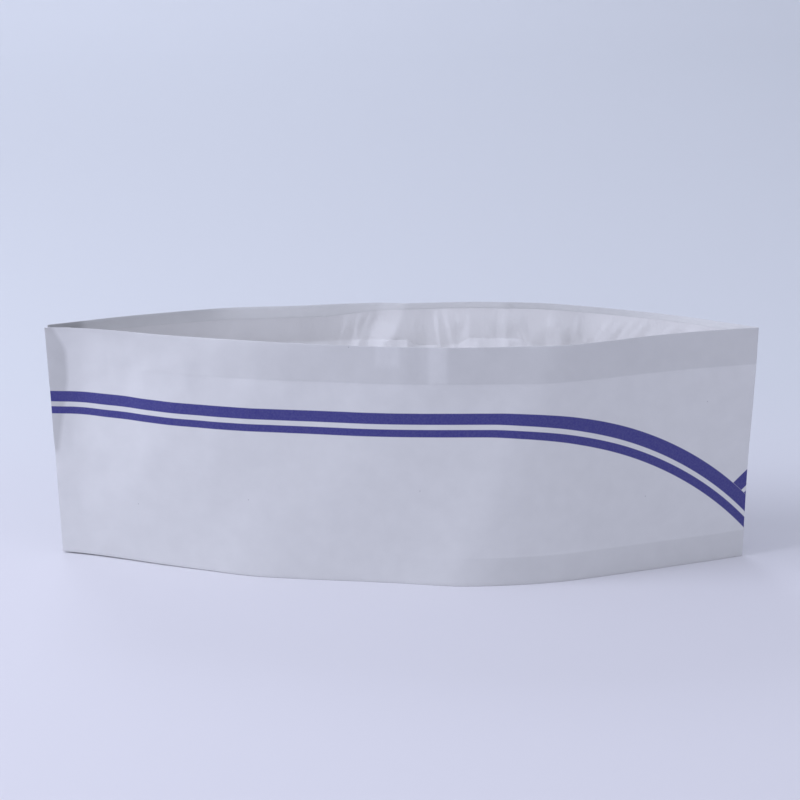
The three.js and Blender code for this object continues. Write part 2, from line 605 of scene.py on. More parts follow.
    def near_relief(self, along: Array, height: Array) -> Array:
        """How far the near panel's own bumps and creases stand out.

        Args:
            along: Paper distances.
            height: Heights above the foot.

        Returns:
            Millimetres outwards at each place.
        """
        share = np.clip(height / self.height, 0, 1)
        to_foot, to_rim = self.window_powers
        window = self.window_peak * share**to_foot * (1 - share) ** to_rim
        crest = along - self.bow_lean * (height - self.bow_level)
        crest = np.clip(crest, self.bow_knots[0], self.panel)
        bow = through(self.bow_knots, self.bow_heights)(crest) * window
        press = self.press_depth * np.clip(1 - along / self.press_width, 0, 1)
        press = press * self.press_low.smooth(height) * self.press_high.smooth(height)
        rough = self.rumple.at(along, height) * self.rumple_fades.smooth(along) * window
        folds = sum(fold.at(along, height) for fold in self.creases + self.near_pleats)
        return bow + press + rough + folds

    def place(self, along: Array, height: Array, depth: Array) -> Array:
        """Puts points of the strip where they are on the standing hat.

        Args:
            along: Paper distances from the near panel's raw edge, through both folds.
            height: Heights above the foot.
            depth: Distances into the hat from the band's outer face.

        Returns:
            An array of X, Y and Z in millimetres.
        """
        share = height / self.height
        places, runs = [], []
        edges = (("foot", self.back_foot, self.front_foot), ("rim", self.back_rim, self.front_rim))
        for (level, back, front), at in zip(edges, self.rulings(along, share)):
            line, distance = self.edge(level, back, front)
            run = unit(np.gradient(line, axis=0))
            for found, values in ((places, line), (runs, run)):
                found.append(np.column_stack([np.interp(at, distance, values[:, i]) for i in (0, 1)]))
        mix = share[:, None]
        flat = places[0] * (1 - mix) + places[1] * mix
        run = unit(runs[0] * (1 - mix) + runs[1] * mix)
        inward = np.column_stack((-run[:, 1], run[:, 0]))
        flat = flat + inward * (depth - self.relief(along, height))[:, None]
        past_back = along % (2 * self.panel)
        from_back = np.minimum(past_back, 2 * self.panel - past_back)
        lift = self.foot_lift * np.clip(1 - from_back / self.lift_reach, 0, 1) ** self.lift_power
        return np.column_stack((flat, height + lift * (1 - share)))


def node(
    tree: bpy.types.NodeTree, kind: str, sockets: dict[Any, Any] | None = None, **settings: Any
) -> bpy.types.Node:
    """Adds a shader node with its settings, values and links.

    Args:
        tree: The material's node tree.
        kind: The node's type name without its leading word.
        sockets: Input names or numbers, each with a value, with the output that feeds it or with
            the node whose first output does.
        **settings: The node's own properties.

    Returns:
        The new node.
    """
    made = tree.nodes.new(f"ShaderNode{kind}")
    for name, value in settings.items():
        setattr(made, name, value)
    for key, value in (sockets or {}).items():
        if isinstance(value, bpy.types.Node):
            value = value.outputs[0]
        if isinstance(value, bpy.types.NodeSocket):
            tree.links.new(value, made.inputs[key])
        else:
            made.inputs[key].default_value = value
    return made


def start_material(name: str, roughness: float) -> tuple[bpy.types.Material, bpy.types.NodeTree, Any]:
    """Starts a finish.

    Args:
        name: The material's name.
        roughness: How rough its surface is, from 0 to 1.

    Returns:
        The material, its node tree and its main shader.
    """
    made = bpy.data.materials.new(name)
    made.use_nodes = True
    shader = made.node_tree.nodes["Principled BSDF"]
    shader.inputs["Roughness"].default_value = roughness
    return made, made.node_tree, shader


@dataclass(frozen=True)
class Chart:
    """A material's node tree, with the sockets that hold the strip's own millimetres.

    Attributes:
        tree: The material's node tree.
        along: The paper distance from the near panel's raw edge.
        height: The height above the foot.
    """

    tree: bpy.types.NodeTree
    along: Any
    height: Any


@dataclass(frozen=True)
class PrintEdge:
    """One edge of a printed stripe: level from the back, then falling along an arc.

    Attributes:
        level: Height of the level part, in millimetres.
        start: Paper distance where the arc begins.
        radius: Radius of the arc.
    """

    level: float
    start: float
    radius: float

    def above(self, chart: Chart) -> bpy.types.Node:
        """Measures how far each place lies above the edge.

        Args:
            chart: The strip's millimetres.

        Returns:
            A node that gives millimetres.
        """
        tree = chart.tree
        past = node(tree, "Math", {0: chart.along, 1: self.start}, operation="SUBTRACT")
        past = node(tree, "Math", {0: past, 1: 0.0}, operation="MAXIMUM")
        up = node(tree, "Math", {0: chart.height, 1: self.radius - self.level}, operation="ADD")
        reach = node(tree, "CombineXYZ", {0: past, 1: up})
        away = node(tree, "VectorMath", {0: reach}, operation="LENGTH").outputs["Value"]
        return node(tree, "Math", {0: away, 1: self.radius}, operation="SUBTRACT")


@dataclass(frozen=True)
class StripePrint:
    """The band's two printed stripes, drawn by distance in the paper's own millimetres.

    The far panel's print is the near one's mirror image about a line just short of the front
    fold, and it stops at the near print's upper edge.
    """

    wide: tuple[PrintEdge, PrintEdge] = (PrintEdge(68.8, 176.9, 144.8), PrintEdge(64.4, 172.8, 148.2))
    narrow: tuple[PrintEdge, PrintEdge] = (PrintEdge(62.4, 172.7, 147.7), PrintEdge(59.45, 170.6, 149.2))
    mirror: float = 273.4
    blur: Span = Span(-0.12, 0.12)

    def over(self, edge: PrintEdge, chart: Chart) -> bpy.types.Node:
        """One above an edge, zero below it."""
        return node(chart.tree, "MapRange", self.blur.of(edge.above(chart)))

    def pair(self, chart: Chart) -> bpy.types.Node:
        """Draws one panel's wide and narrow stripe.

        Args:
            chart: The strip's millimetres.

        Returns:
            A node that gives one on ink and zero on bare paper.
        """
        inks = []
        for upper, lower in (self.wide, self.narrow):
            over = {0: self.over(lower, chart), 1: self.over(upper, chart)}
            inks.append(node(chart.tree, "Math", over, operation="SUBTRACT"))
        return node(chart.tree, "Math", dict(enumerate(inks)), operation="MAXIMUM")

    def ink(self, chart: Chart) -> bpy.types.Node:
        """Draws both panels' stripes.

        Args:
            chart: The strip's millimetres.

        Returns:
            A node that gives one on ink and zero on bare paper.
        """
        tree = chart.tree
        mirrored = node(tree, "Math", {0: 2 * self.mirror, 1: chart.along}, operation="SUBTRACT")
        far = self.pair(replace(chart, along=mirrored))
        shown = node(tree, "Math", {0: far, 1: self.over(self.wide[0], chart)}, operation="MULTIPLY")
        return node(tree, "Math", {0: self.pair(chart), 1: shown}, operation="MAXIMUM")


@dataclass(frozen=True)
class Shade:
    """A painted light or shade on the paper at one distance from the back fold, in millimetres."""

    at: float
    light: float


# Painted light and shade on the inside of the folded-in hem, darkest far into the back fold.
INNER_PAINTED_SHADES = (
    Shade(0, light=0.585),
    Shade(13, light=0.6),
    Shade(16, light=0.83),
    Shade(60, light=0.83),
    Shade(73, light=0.91),
    Shade(84, light=0.89),
    Shade(101, light=0.88),
    Shade(108, light=0.855),
    Shade(165, light=0.855),
    Shade(177, light=0.81),
    Shade(182, light=0.745),
    Shade(214, light=0.735),
    Shade(226, light=0.767),
    Shade(237, light=0.82),
    Shade(252, light=0.88),
)

# Painted light and shade on the tissue's far flap, in patches along the panel.
FLAP_PAINTED_SHADES = (
    Shade(0, light=0.9),
    Shade(68, light=0.9),
    Shade(78, light=0.845),
    Shade(108, light=0.845),
    Shade(116, light=0.9),
    Shade(148, light=0.9),
    Shade(158, light=1.0),
    Shade(163, light=0.94),
    Shade(167, light=0.885),
    Shade(196, light=0.88),
    Shade(202, light=0.81),
    Shade(208, light=0.79),
    Shade(213, light=0.86),
    Shade(218, light=0.91),
    Shade(232, light=0.9),
)


def light_along(tree: bpy.types.NodeTree, from_back: Any, shades: Sequence[Shade]) -> bpy.types.Node:
    """Blends a table of painted light and shade along a panel.

    Args:
        tree: The material's node tree.
        from_back: The distance from the back fold in millimetres.
        shades: The table, in rising order from the back fold.

    Returns:
        A node that gives the light.
    """
    share = node(tree, "Math", {0: from_back, 1: 1 / PANEL}, operation="MULTIPLY")
    ramp = node(tree, "ValToRGB", {"Fac": share})
    stops = ramp.color_ramp.elements
    stops.remove(stops[1])
    for shade in shades:
        stop = stops.new(shade.at / PANEL) if shade.at else stops[0]
        stop.color = (shade.light, shade.light, shade.light, 1.0)
    return ramp


@dataclass(frozen=True)
class HemShadeGap:
    """A stretch where the painted hem shade is nearly left out, so the top hem band is painted lighter.

    Attributes:
        middle: Paper distance of its middle, in millimetres.
        half: Half its width.
        foot: The height where it ends.
        side_edge: How its sides fade. A little of the painted shade stays even in the middle.
        foot_edge: How its lower end fades.
    """

    middle: float
    half: float
    foot: float
    side_edge: Span = Span(-1.2, 1.2, before=0.15)
    foot_edge: Span = Span(-2.64, 2.64, before=1, after=0)

    def hem_shade_kept(self, chart: Chart) -> bpy.types.Node:
        """Shows where the painted hem shade is kept.

        Args:
            chart: The strip's millimetres.

        Returns:
            A node that gives one where the shade is kept and nearly nothing in the gap.
        """
        tree = chart.tree
        off = node(tree, "Math", {0: chart.along, 1: self.middle}, operation="SUBTRACT")
        off = node(tree, "Math", {0: off}, operation="ABSOLUTE")
        side, end = self.side_edge.moved(self.half), self.foot_edge.moved(self.foot)
        beside = node(tree, "MapRange", side.of(off), interpolation_type="SMOOTHSTEP")
        below = node(tree, "MapRange", end.of(chart.height), interpolation_type="SMOOTHSTEP")
        return node(tree, "Math", {0: beside, 1: below}, operation="MAXIMUM")


# Two stretches of the top hem band painted lighter.
HEM_SHADE_GAPS = (HemShadeGap(134.0, half=4.4, foot=87.5), HemShadeGap(152.8, half=3.6, foot=80.0))


@dataclass(frozen=True)
class GlazedPaper:
    """Bleached kraft paper, glazed on one side against a hot drum and printed by flexography.

    The glaze gives a faint sheen on the outside. Pulp settles in clouds a few millimetres
    across. Painted shade darkens the sheet over the folded-in hems and the glued lap, and the
    hem's inside over the rim carries painted light and shade.

    Attributes:
        cloud_tone: The tone of the clouds' noise.
        ink_cover: How well ink covers the fibres' noise.
        pressed: Where the top hem's painted shade sets in, by distance along a leaning line.
        hem_shade_lean: How far that line leans back for each millimetre of height.
        foot_hem_shows: Where the foot hem's painted shade shows, by paper distance.
        back_top_shade_edge: The soft lower edge of the painted shade at the top near the back.
        back_top_shade_from: Where that painted shade begins, by paper distance.
        back_top_shade_to: Where it ends.
        turned: Where the sheet has turned over its fold line, by distance past it.
        fold_line_painted_shade: Painted shade along the fold line, by distance past it.
        back_fold_painted_shade: Painted shade far into the back fold, by distance past the fold line.
        back_fold_shade_end: Where that painted shade ends, by distance from the fold.
        lap_below: How wide the lap's painted shade is, by height, below its widest.
        lap_above: How wide it is above that.
        lap_edge: The soft edge of the lap's painted shade, by distance inside it.
        lap_foot: Where the lap's painted shade begins, by height.
    """

    name: str
    colour: str = "#DDDDDB"
    ink_colour: str = "#333280"
    printed: StripePrint | None = None
    roughness: float = 0.5
    ior: float = 1.5
    cloud_size: float = 7.0
    cloud_detail: float = 3.0
    cloud_tone: Span = Span(0.3, 0.7, before=0.975, after=1.015)
    fibre_size: float = 0.7
    fibre_detail: float = 4.0
    fibre_height: float = 0.1
    fibre_strength: float = 0.12
    ink_cover: Span = Span(0.3, 0.75, before=1, after=0.95)
    speck_gap: float = 40.0
    speck_size: float = 0.6
    speck_shade: float = 0.3
    speck_chance: float = 0.5
    # Painted shade over the folded-in hems, for the light they keep from shining through the sheet.
    painted_hem_shade: float = 0.1
    hem_edge: Span = Span(-0.3, 0.3)
    hem_shade_gaps: tuple[HemShadeGap, ...] = HEM_SHADE_GAPS
    pressed: Span = Span(22, 44)
    hem_shade_lean: float = 0.45
    foot_hem_shows: Span = Span(158, 178, after=0.75)
    back_top_shade_edge: Span = Span(71, 89, after=0.65)
    back_top_shade_from: Span = Span(14, 30)
    back_top_shade_to: Span = Span(58, 74, before=1, after=0)
    # Painted light and shade on the hem's inside, tabled and lifted as a whole.
    inner_painted_shades: tuple[Shade, ...] = INNER_PAINTED_SHADES
    inner_light: float = 1.284
    turned: Span = Span(0, 0.3)
    fold_line_painted_shade: Span = Span(0.3, 1.8, before=0.93)
    back_fold_painted_shade: Span = Span(0.5, 5.5, before=0.89)
    back_fold_shade_end: Span = Span(62, 74)
    # Painted shade over the glued lap, for its pressed strip and doubled paper.
    painted_lap_shade: float = 0.2
    lap_below: Span = Span(43, 74, before=1.5, after=7.4)
    lap_above: Span = Span(84, 97, before=7.4, after=3)
    lap_edge: Span = Span(-0.8, 1)
    lap_foot: Span = Span(42, 45)

    def material(self) -> bpy.types.Material:
        """Makes the material.

        Returns:
            The finished material.
        """
        made, tree, shader = start_material(self.name, self.roughness)
        shader.inputs["IOR"].default_value = self.ior
        where = node(tree, "TexCoord")
        spot = node(tree, "VectorMath", {0: where.outputs["Object"], 1: (1 / MM,) * 3}, operation="MULTIPLY")
        cloud = self.grain(tree, spot, self.cloud_size, self.cloud_detail)
        fibre = self.grain(tree, spot, self.fibre_size, self.fibre_detail)
        size = (STRIP_LENGTH, STRIP_WIDTH, 0.0)
        paper = node(tree, "VectorMath", {0: where.outputs["UV"], 1: size}, operation="MULTIPLY")
        parts = node(tree, "SeparateXYZ", {0: paper})
        height = node(tree, "Math", {0: parts.outputs["Y"], 1: FOOT_HEM}, operation="SUBTRACT")
        chart = Chart(tree, parts.outputs["X"], height)
        paint = {0: 1.0, COLOUR_A: linear(self.colour), COLOUR_B: self.tone(chart, cloud)}
        colour = node(tree, "Mix", paint, data_type="RGBA", blend_type="MULTIPLY").outputs[COLOUR_OUT]
        if self.printed:
            colour = self.inked(chart, colour, fibre)
        tree.links.new(colour, shader.inputs["Base Color"])
        relief = {"Height": fibre, "Strength": self.fibre_strength, "Distance": self.fibre_height * MM}
        tree.links.new(node(tree, "Bump", relief).outputs[0], shader.inputs["Normal"])
        return made

    @staticmethod
    def grain(tree: bpy.types.NodeTree, spot: Any, size: float, detail: float) -> Any:
        """Fine noise whose patches are about size millimetres across."""
        return node(tree, "TexNoise", {"Vector": spot, "Scale": 1 / size, "Detail": detail}).outputs["Fac"]

    def tone(self, chart: Chart, cloud: Any) -> bpy.types.Node:
        """Makes the paper's lightness: clouds of pulp, specks, painted shade where the sheet lies double,
        and painted light and shade on the hem's inside.

        Args:
            chart: The strip's millimetres.
            cloud: The clouds' noise.

        Returns:
            A node that gives the share of light.
        """
        tree = chart.tree
        # Painted shade where the hems and the glued lap lie double.
        hems = {0: self.hems(chart), 1: self.painted_hem_shade}
        lap = {0: self.lap_shade_mask(chart), 1: self.painted_lap_shade}
        shades = [node(tree, "Math", double, operation="MULTIPLY") for double in (hems, lap)]
        most = node(tree, "Math", dict(enumerate(shades)), operation="MAXIMUM")
        outer = node(tree, "Math", {0: 1.0, 1: most}, operation="SUBTRACT")
        middle = node(tree, "Math", {0: chart.height, 1: BAND_HEIGHT / 2}, operation="SUBTRACT")
        beyond = node(tree, "Math", {0: middle}, operation="ABSOLUTE")
        past = node(tree, "Math", {0: beyond, 1: BAND_HEIGHT / 2}, operation="SUBTRACT")
        turned = node(tree, "MapRange", self.turned.of(past))
        tone = node(tree, "Mix", {0: turned, FLOAT_A: outer, FLOAT_B: self.inside(chart, past)})
        clouds = node(tree, "MapRange", self.cloud_tone.of(cloud))
        for layer in (self.specks(chart), clouds):
            tone = node(tree, "Math", {0: tone, 1: layer}, operation="MULTIPLY")
        return tone

    def hems(self, chart: Chart) -> bpy.types.Node:
        """Paints shade where the folded-in hems lie behind the sheet.

        Args:
            chart: The strip's millimetres.

        Returns:
            A node that gives one where the painted hem shade is full.
        """
        tree, along, height = chart.tree, chart.along, chart.height
        top = node(tree, "MapRange", self.hem_edge.moved(TOP_HEM_EDGE).of(height))
        lean = node(tree, "Math", {0: height, 1: -self.hem_shade_lean, 2: along}, operation="MULTIPLY_ADD")
        pressed = node(tree, "MapRange", self.pressed.of(lean))
        for part in (pressed, *(gap.hem_shade_kept(chart) for gap in self.hem_shade_gaps)):
            top = node(tree, "Math", {0: top, 1: part}, operation="MULTIPLY")
        # Painted shade over the top of the sheet near the back.
        top = node(tree, "Math", {0: top, 1: self.back_top_painted_shade(chart)}, operation="MAXIMUM")
        above = node(tree, "MapRange", self.hem_edge.moved(FOOT_HEM).of(height))
        foot = node(tree, "Math", {0: 1.0, 1: above}, operation="SUBTRACT")
        shows = node(tree, "MapRange", self.foot_hem_shows.of(along))
        foot = node(tree, "Math", {0: foot, 1: shows}, operation="MULTIPLY")
        return node(tree, "Math", {0: top, 1: foot}, operation="MAXIMUM")

    def back_top_painted_shade(self, chart: Chart) -> bpy.types.Node:
        """Paints a soft shade over the top of the sheet near the back.

        Args:
            chart: The strip's millimetres.

        Returns:
            A node that gives one where the painted shade is full.
        """
        loose = node(chart.tree, "MapRange", self.back_top_shade_edge.of(chart.height))
        for span in (self.back_top_shade_from, self.back_top_shade_to):
            within = node(chart.tree, "MapRange", span.of(chart.along))
            loose = node(chart.tree, "Math", {0: loose, 1: within}, operation="MULTIPLY")
        return loose

    def inside(self, chart: Chart, past: Any) -> bpy.types.Node:
        """Paints light and shade on the folded-in hem's inside: painted shade far into the back fold
        and along its fold line, and tabled painted light and shade along the panel.

        Args:
            chart: The strip's millimetres.
            past: The distance past the nearer fold line in millimetres.

        Returns:
            A node that gives the share of light.
        """
        tree = chart.tree
        from_front = node(tree, "Math", {0: chart.along, 1: PANEL}, operation="SUBTRACT")
        from_front = node(tree, "Math", {0: from_front}, operation="ABSOLUTE")
        from_back = node(tree, "Math", {0: PANEL, 1: from_front}, operation="SUBTRACT")
        back_fold_painted_shade = node(tree, "MapRange", self.back_fold_painted_shade.of(past))
        ended = node(tree, "MapRange", self.back_fold_shade_end.of(from_back))
        back_fold_painted_shade = node(tree, "Mix", {0: ended, FLOAT_A: back_fold_painted_shade, FLOAT_B: 1.0})
        fold_line_painted_shade = node(tree, "MapRange", self.fold_line_painted_shade.of(past))
        light = light_along(tree, from_back, self.inner_painted_shades)
        for part in (back_fold_painted_shade, self.inner_light, fold_line_painted_shade):
            light = node(tree, "Math", {0: light, 1: part}, operation="MULTIPLY")
        return light

    def specks(self, chart: Chart) -> bpy.types.Node:
        """Darkens an odd speck of bark in the pulp, some centimetres from the next.

        Args:
            chart: The strip's millimetres.

        Returns:
            A node that gives the share of light.
        """
        tree = chart.tree
        spot = node(tree, "CombineXYZ", {0: chart.along, 1: chart.height})
        cells = {"Vector": spot, "Scale": 1 / self.speck_gap}
        cell = node(tree, "TexVoronoi", cells, voronoi_dimensions="2D")
        radius = self.speck_size / 2 / self.speck_gap
        speck = Span(radius / 2, radius, before=self.speck_shade, after=0)
        dark = node(tree, "MapRange", speck.of(cell.outputs["Distance"]))
        chance = {0: cell.outputs["Color"], 1: 1 - self.speck_chance}
        chosen = node(tree, "Math", chance, operation="GREATER_THAN")
        shade = node(tree, "Math", {0: dark, 1: chosen}, operation="MULTIPLY")
        return node(tree, "Math", {0: 1.0, 1: shade}, operation="SUBTRACT")

    def lap_shade_mask(self, chart: Chart) -> bpy.types.Node:
        """Shows where painted shade darkens the glued lap.

        Args:
            chart: The strip's millimetres.

        Returns:
            A node that gives one where the lap's painted shade is full.
        """
        tree, along, height = chart.tree, chart.along, chart.height
        lower = node(tree, "MapRange", self.lap_below.of(height))
        upper = node(tree, "MapRange", self.lap_above.of(height), interpolation_type="SMOOTHSTEP")
        width = node(tree, "Math", {0: lower, 1: upper}, operation="MINIMUM")
        inside = node(tree, "Math", {0: width, 1: along}, operation="SUBTRACT")
        glued = node(tree, "MapRange", self.lap_edge.of(inside))
        foot = node(tree, "MapRange", self.lap_foot.of(height))
        return node(tree, "Math", {0: glued, 1: foot}, operation="MULTIPLY")

    def inked(self, chart: Chart, colour: Any, fibre: Any) -> Any:
        """Lays the ink over the paper, a little thin where fibres stand up.

        Args:
            chart: The strip's millimetres.
            colour: The paper's colour.
            fibre: The fibres' noise.

        Returns:
            The socket that gives the printed paper's colour.
        """
        cover = node(chart.tree, "MapRange", self.ink_cover.of(fibre))
        laid = node(chart.tree, "Math", {0: self.printed.ink(chart), 1: cover}, operation="MULTIPLY")
        layers = {0: laid, COLOUR_A: colour, COLOUR_B: linear(self.ink_colour)}
        return node(chart.tree, "Mix", layers, data_type="RGBA").outputs[COLOUR_OUT]


@dataclass(frozen=True)
class CrepeTissue:
    """Thin bleached tissue, creped off its drying drum, which leaves fine close ridges.

    The far flap carries painted light and shade in patches along its length.

    Attributes:
        start: How far from the back fold the tissue begins, in millimetres.
        length: How long the flat tissue is.
        width: How wide it is.
        flap_shade_band: Where the far flap's painted light and shade lie, by distance across.
    """

    name: str
    start: float
    length: float
    width: float
    flap_shade_band: Span
    colour: str = "#E6E5E3"
    roughness: float = 0.85
    ridge_spacing: float = 1.3
    ridge_run: float = 6.0
    ridge_detail: float = 3.0
    ridge_height: float = 0.15
    ridge_strength: float = 0.5
    flap_painted_shades: tuple[Shade, ...] = FLAP_PAINTED_SHADES
    flap_painted_light: float = 1.111

    def material(self) -> bpy.types.Material:
        """Makes the material.

        Returns:
            The finished material.
        """
        made, tree, shader = start_material(self.name, self.roughness)
        where = node(tree, "TexCoord")
        paint = {0: 1.0, COLOUR_A: linear(self.colour), COLOUR_B: self.glued(tree, where.outputs["UV"])}
        tint = node(tree, "Mix", paint, data_type="RGBA", blend_type="MULTIPLY")
        tree.links.new(tint.outputs[COLOUR_OUT], shader.inputs["Base Color"])
        scale = (1 / self.ridge_spacing / MM, 1 / self.ridge_run / MM, 1 / self.ridge_run / MM)
        spot = node(tree, "VectorMath", {0: where.outputs["Object"], 1: scale}, operation="MULTIPLY")
        ridges = node(tree, "TexNoise", {"Vector": spot, "Scale": 1.0, "Detail": self.ridge_detail})
        depth = {"Strength": self.ridge_strength, "Distance": self.ridge_height * MM}
        bump = node(tree, "Bump", {"Height": ridges.outputs["Fac"], **depth})
        tree.links.new(bump.outputs[0], shader.inputs["Normal"])
        return made

    def glued(self, tree: bpy.types.NodeTree, place: Any) -> bpy.types.Node:
        """Paints light and shade on the far flap in patches along the panel.

        Args:
            tree: The material's node tree.
            place: The place on the flat tissue, as shares of its length and width.

        Returns:
            A node that gives the share of light.
        """
        # Painted light and shade in patches along the far flap.
        parts = node(tree, "SeparateXYZ", {0: place})
        run = {0: parts.outputs["X"], 1: self.length, 2: self.start}
        from_back = node(tree, "Math", run, operation="MULTIPLY_ADD")
        tabled = light_along(tree, from_back, self.flap_painted_shades)
        light = node(tree, "Math", {0: tabled, 1: self.flap_painted_light}, operation="MULTIPLY")
        across = node(tree, "Math", {0: parts.outputs["Y"], 1: self.width}, operation="MULTIPLY")
        flap_shade_band = node(tree, "MapRange", self.flap_shade_band.of(across))
        return node(tree, "Mix", {0: flap_shade_band, FLOAT_A: 1.0, FLOAT_B: light})


def choose(piece: bpy.types.Object) -> None:
    """Makes a piece the only selected one.

    Args:
        piece: The piece.
    """
    bpy.ops.object.select_all(action="DESELECT")
    piece.select_set(True)
    bpy.context.view_layer.objects.active = piece


def in_edit_mode(piece: bpy.types.Object) -> None:
    """Opens a piece in edit mode with all of it selected.

    Args:
        piece: The piece.
    """
    choose(piece)
    bpy.ops.object.mode_set(mode="EDIT")
    bpy.ops.mesh.select_all(action="SELECT")


@dataclass
class FlatSheet:
    """A sheet of paper before it is folded, lying on the ground with its corner at the origin.

    Attributes:
        name: The piece's name.
        length: The sheet's length in millimetres.
        width: Its width.
        column: How far apart its points are along the length.
        row: How far apart they are across the width.
        scores_along: Distances along it of the score lines that run across.
        scores_across: Distances across it of the score lines that run along.
        smooth_under: The angle in degrees under which faces are shaded as one.
    """

    name: str
    length: float
    width: float
    column: float
    row: float
    scores_along: Sequence[float] = ()
    scores_across: Sequence[float] = ()
    smooth_under: float = 48.0

    def cut(self) -> bpy.types.Object:
        """Cuts the sheet to size and scores it where it will fold.

        Returns:
            The flat piece.
        """
        bpy.ops.mesh.primitive_grid_add(
            x_subdivisions=round(self.length / self.column),
            y_subdivisions=round(self.width / self.row),
            size=1,
            calc_uvs=True,
        )
        piece = bpy.context.active_object
        piece.name = piece.data.name = self.name
        in_edit_mode(piece)
        size = (self.length * MM, self.width * MM, 1)
        bpy.ops.transform.resize(value=size)
        bpy.ops.transform.translate(value=(size[0] / 2, size[1] / 2, 0))
        for place in self.scores_along:
            self.score((place * MM, 0, 0), (1, 0, 0))
        for place in self.scores_across:
            self.score((0, place * MM, 0), (0, 1, 0))
        bpy.ops.object.mode_set(mode="OBJECT")
        return piece

    @staticmethod
    def score(place: tuple[float, float, float], normal: tuple[float, float, float]) -> None:
        """Adds a straight line of edges across the whole sheet."""
        bpy.ops.mesh.select_all(action="SELECT")
        bpy.ops.mesh.bisect(plane_co=place, plane_no=normal)

    def fold(self, piece: bpy.types.Object, folding: Callable[[Array, Array], Array]) -> None:
        """Moves each point of the flat sheet to its place on the hat.

        Args:
            piece: The flat piece.
            folding: Gives places in millimetres for distances along and across the sheet.
        """
        flat = np.empty(len(piece.data.vertices) * 3)
        piece.data.vertices.foreach_get("co", flat)
        flat = flat.reshape(-1, 3) / MM
        folded = folding(flat[:, 0], flat[:, 1]) * MM
        piece.data.vertices.foreach_set("co", folded.ravel())
        piece.data.update()

    def thicken(self, piece: bpy.types.Object, thickness: float, back_slot: int) -> None:
        """Gives the folded sheet its thickness behind its outer face and shades it smooth.

        Args:
            piece: The folded piece.
            thickness: The paper's thickness in millimetres.
            back_slot: How many material slots further the back face's material is.
        """
        choose(piece)
        wall = piece.modifiers.new("thickness", "SOLIDIFY")
        wall.thickness = thickness * MM
        wall.offset = -1
        wall.material_offset = back_slot
        wall.material_offset_rim = back_slot
        bpy.ops.object.modifier_apply(modifier=wall.name)
        bpy.ops.object.shade_smooth_by_angle(angle=math.radians(self.smooth_under))


@dataclass
class SideBand:
    """The printed strip: both side panels, the front fold, the hems and the glued lap.

    Attributes:
        shape: Where the standing band's paper is.
        paper: The paper's thickness in millimetres, a little more than the real one's.
        fold_radius: The radius of the hems' folds.
        hem_spring: How far the foot hem's raw edge springs into the hat.
        column: How far apart the strip's points are along it.
        row: How far apart they are across it.
        fold_steps: How many score lines each half of a hem's fold has.
        front_scores: Distances of score lines on either side of the front fold.
        back_scores: The same for the back fold.
        spring: How unevenly the foot hem springs.
    """

    shape: BentStrip
    paper: float = 0.16
    top_hem: float = TOP_HEM
    foot_hem: float = FOOT_HEM
    fold_radius: float = 0.2
    hem_spring: float = 0.7
    column: float = 1.25
    row: float = 2.2
    fold_steps: int = 4
    front_scores: Sequence[float] = (0.25, 0.5, 0.75, 1.05, 1.5)
    back_scores: Sequence[float] = (0.6, 1.2, 1.8, 2.4, 3.0, 3.8)
    spring: Waves = Waves(25, 80, 0.5, seed=7, spread=0.2)

    def profile(self, across: Array, along: Array) -> tuple[Array, Array]:
        """Folds the strip's width into the outer face and its two hems.

        Args:
            across: Distances across the flat strip, from the foot hem's raw edge.
            along: Paper distances along the strip.

        Returns:
            Heights above the foot and depths into the hat.
        """
        radius, full = self.fold_radius, self.shape.height
        bow = math.pi * radius / 2
        foot, top = self.foot_hem, self.foot_hem + full
        low, high = across < (foot + top) / 2, across >= (foot + top) / 2
        from_fold = np.where(low, across - foot, top - across)
        turn = np.clip(from_fold / radius, -math.pi / 2, math.pi / 2)
        past = np.maximum(np.abs(from_fold) - bow, 0)
        stretch = (full / 2 - radius) / (full / 2 - bow)
        level = radius * (1 - np.cos(turn)) + past * np.where(from_fold > 0, stretch, 1)
        depth = radius * (1 - np.sin(turn))
        loose = np.where(low & (from_fold < 0), past / foot, 0)
        depth = depth + self.hem_spring * loose**2 * (1 + self.spring.at(along, 0 * along))
        return np.where(high, full - level, level), depth

    def folding(self, along: Array, across: Array) -> Array:
        """Puts points of the flat strip in their places on the hat."""
        height, depth = self.profile(across, along)
        return self.shape.place(along, height, depth)

    def scores(self) -> tuple[list[float], list[float]]:
        """The score lines: across the front and back folds, and along both hems.

        Returns:
            Distances along the strip and distances across it.
        """
        panel = self.shape.panel
        along = [panel, 2 * panel]
        along += [panel + side * gap for gap in self.front_scores for side in (-1, 1)]
        along += [2 * panel + side * gap for gap in self.back_scores for side in (-1, 1)]
        bow = math.pi * self.fold_radius / 2
        offsets = np.linspace(-bow, bow, 2 * self.fold_steps + 1)
        folds = (self.foot_hem, self.foot_hem + self.shape.height)
        across = [fold + offset for fold in folds for offset in offsets]
        sides = (self.shape.hem_blur.start, 0, self.shape.hem_blur.end)
        across += [self.foot_hem + edge + side for edge in self.shape.hem_edges for side in sides]
        return along, across

    def build(self) -> bpy.types.Object:
        """Makes the band.

        Returns:
            The finished piece, riding on the hat's body in place of its solid.
        """
        along, across = self.scores()
        length = 2 * self.shape.panel + self.shape.lap
        width = self.foot_hem + self.shape.height + self.top_hem
        sheet = FlatSheet("printed_band", length, width, self.column, self.row, along, across)
        piece = sheet.cut()
        sheet.fold(piece, self.folding)
        outside = GlazedPaper("glazed_printed_paper", printed=StripePrint())
        # The back face takes no painted hem or lap shade.
        inside = GlazedPaper("rough_paper_back", roughness=0.75, painted_hem_shade=0, painted_lap_shade=0)
        piece.data.materials.append(outside.material())
        piece.data.materials.append(inside.material())
        sheet.thicken(piece, self.paper, back_slot=1)
        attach(piece, "root")
        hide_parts("side_band")
        return piece


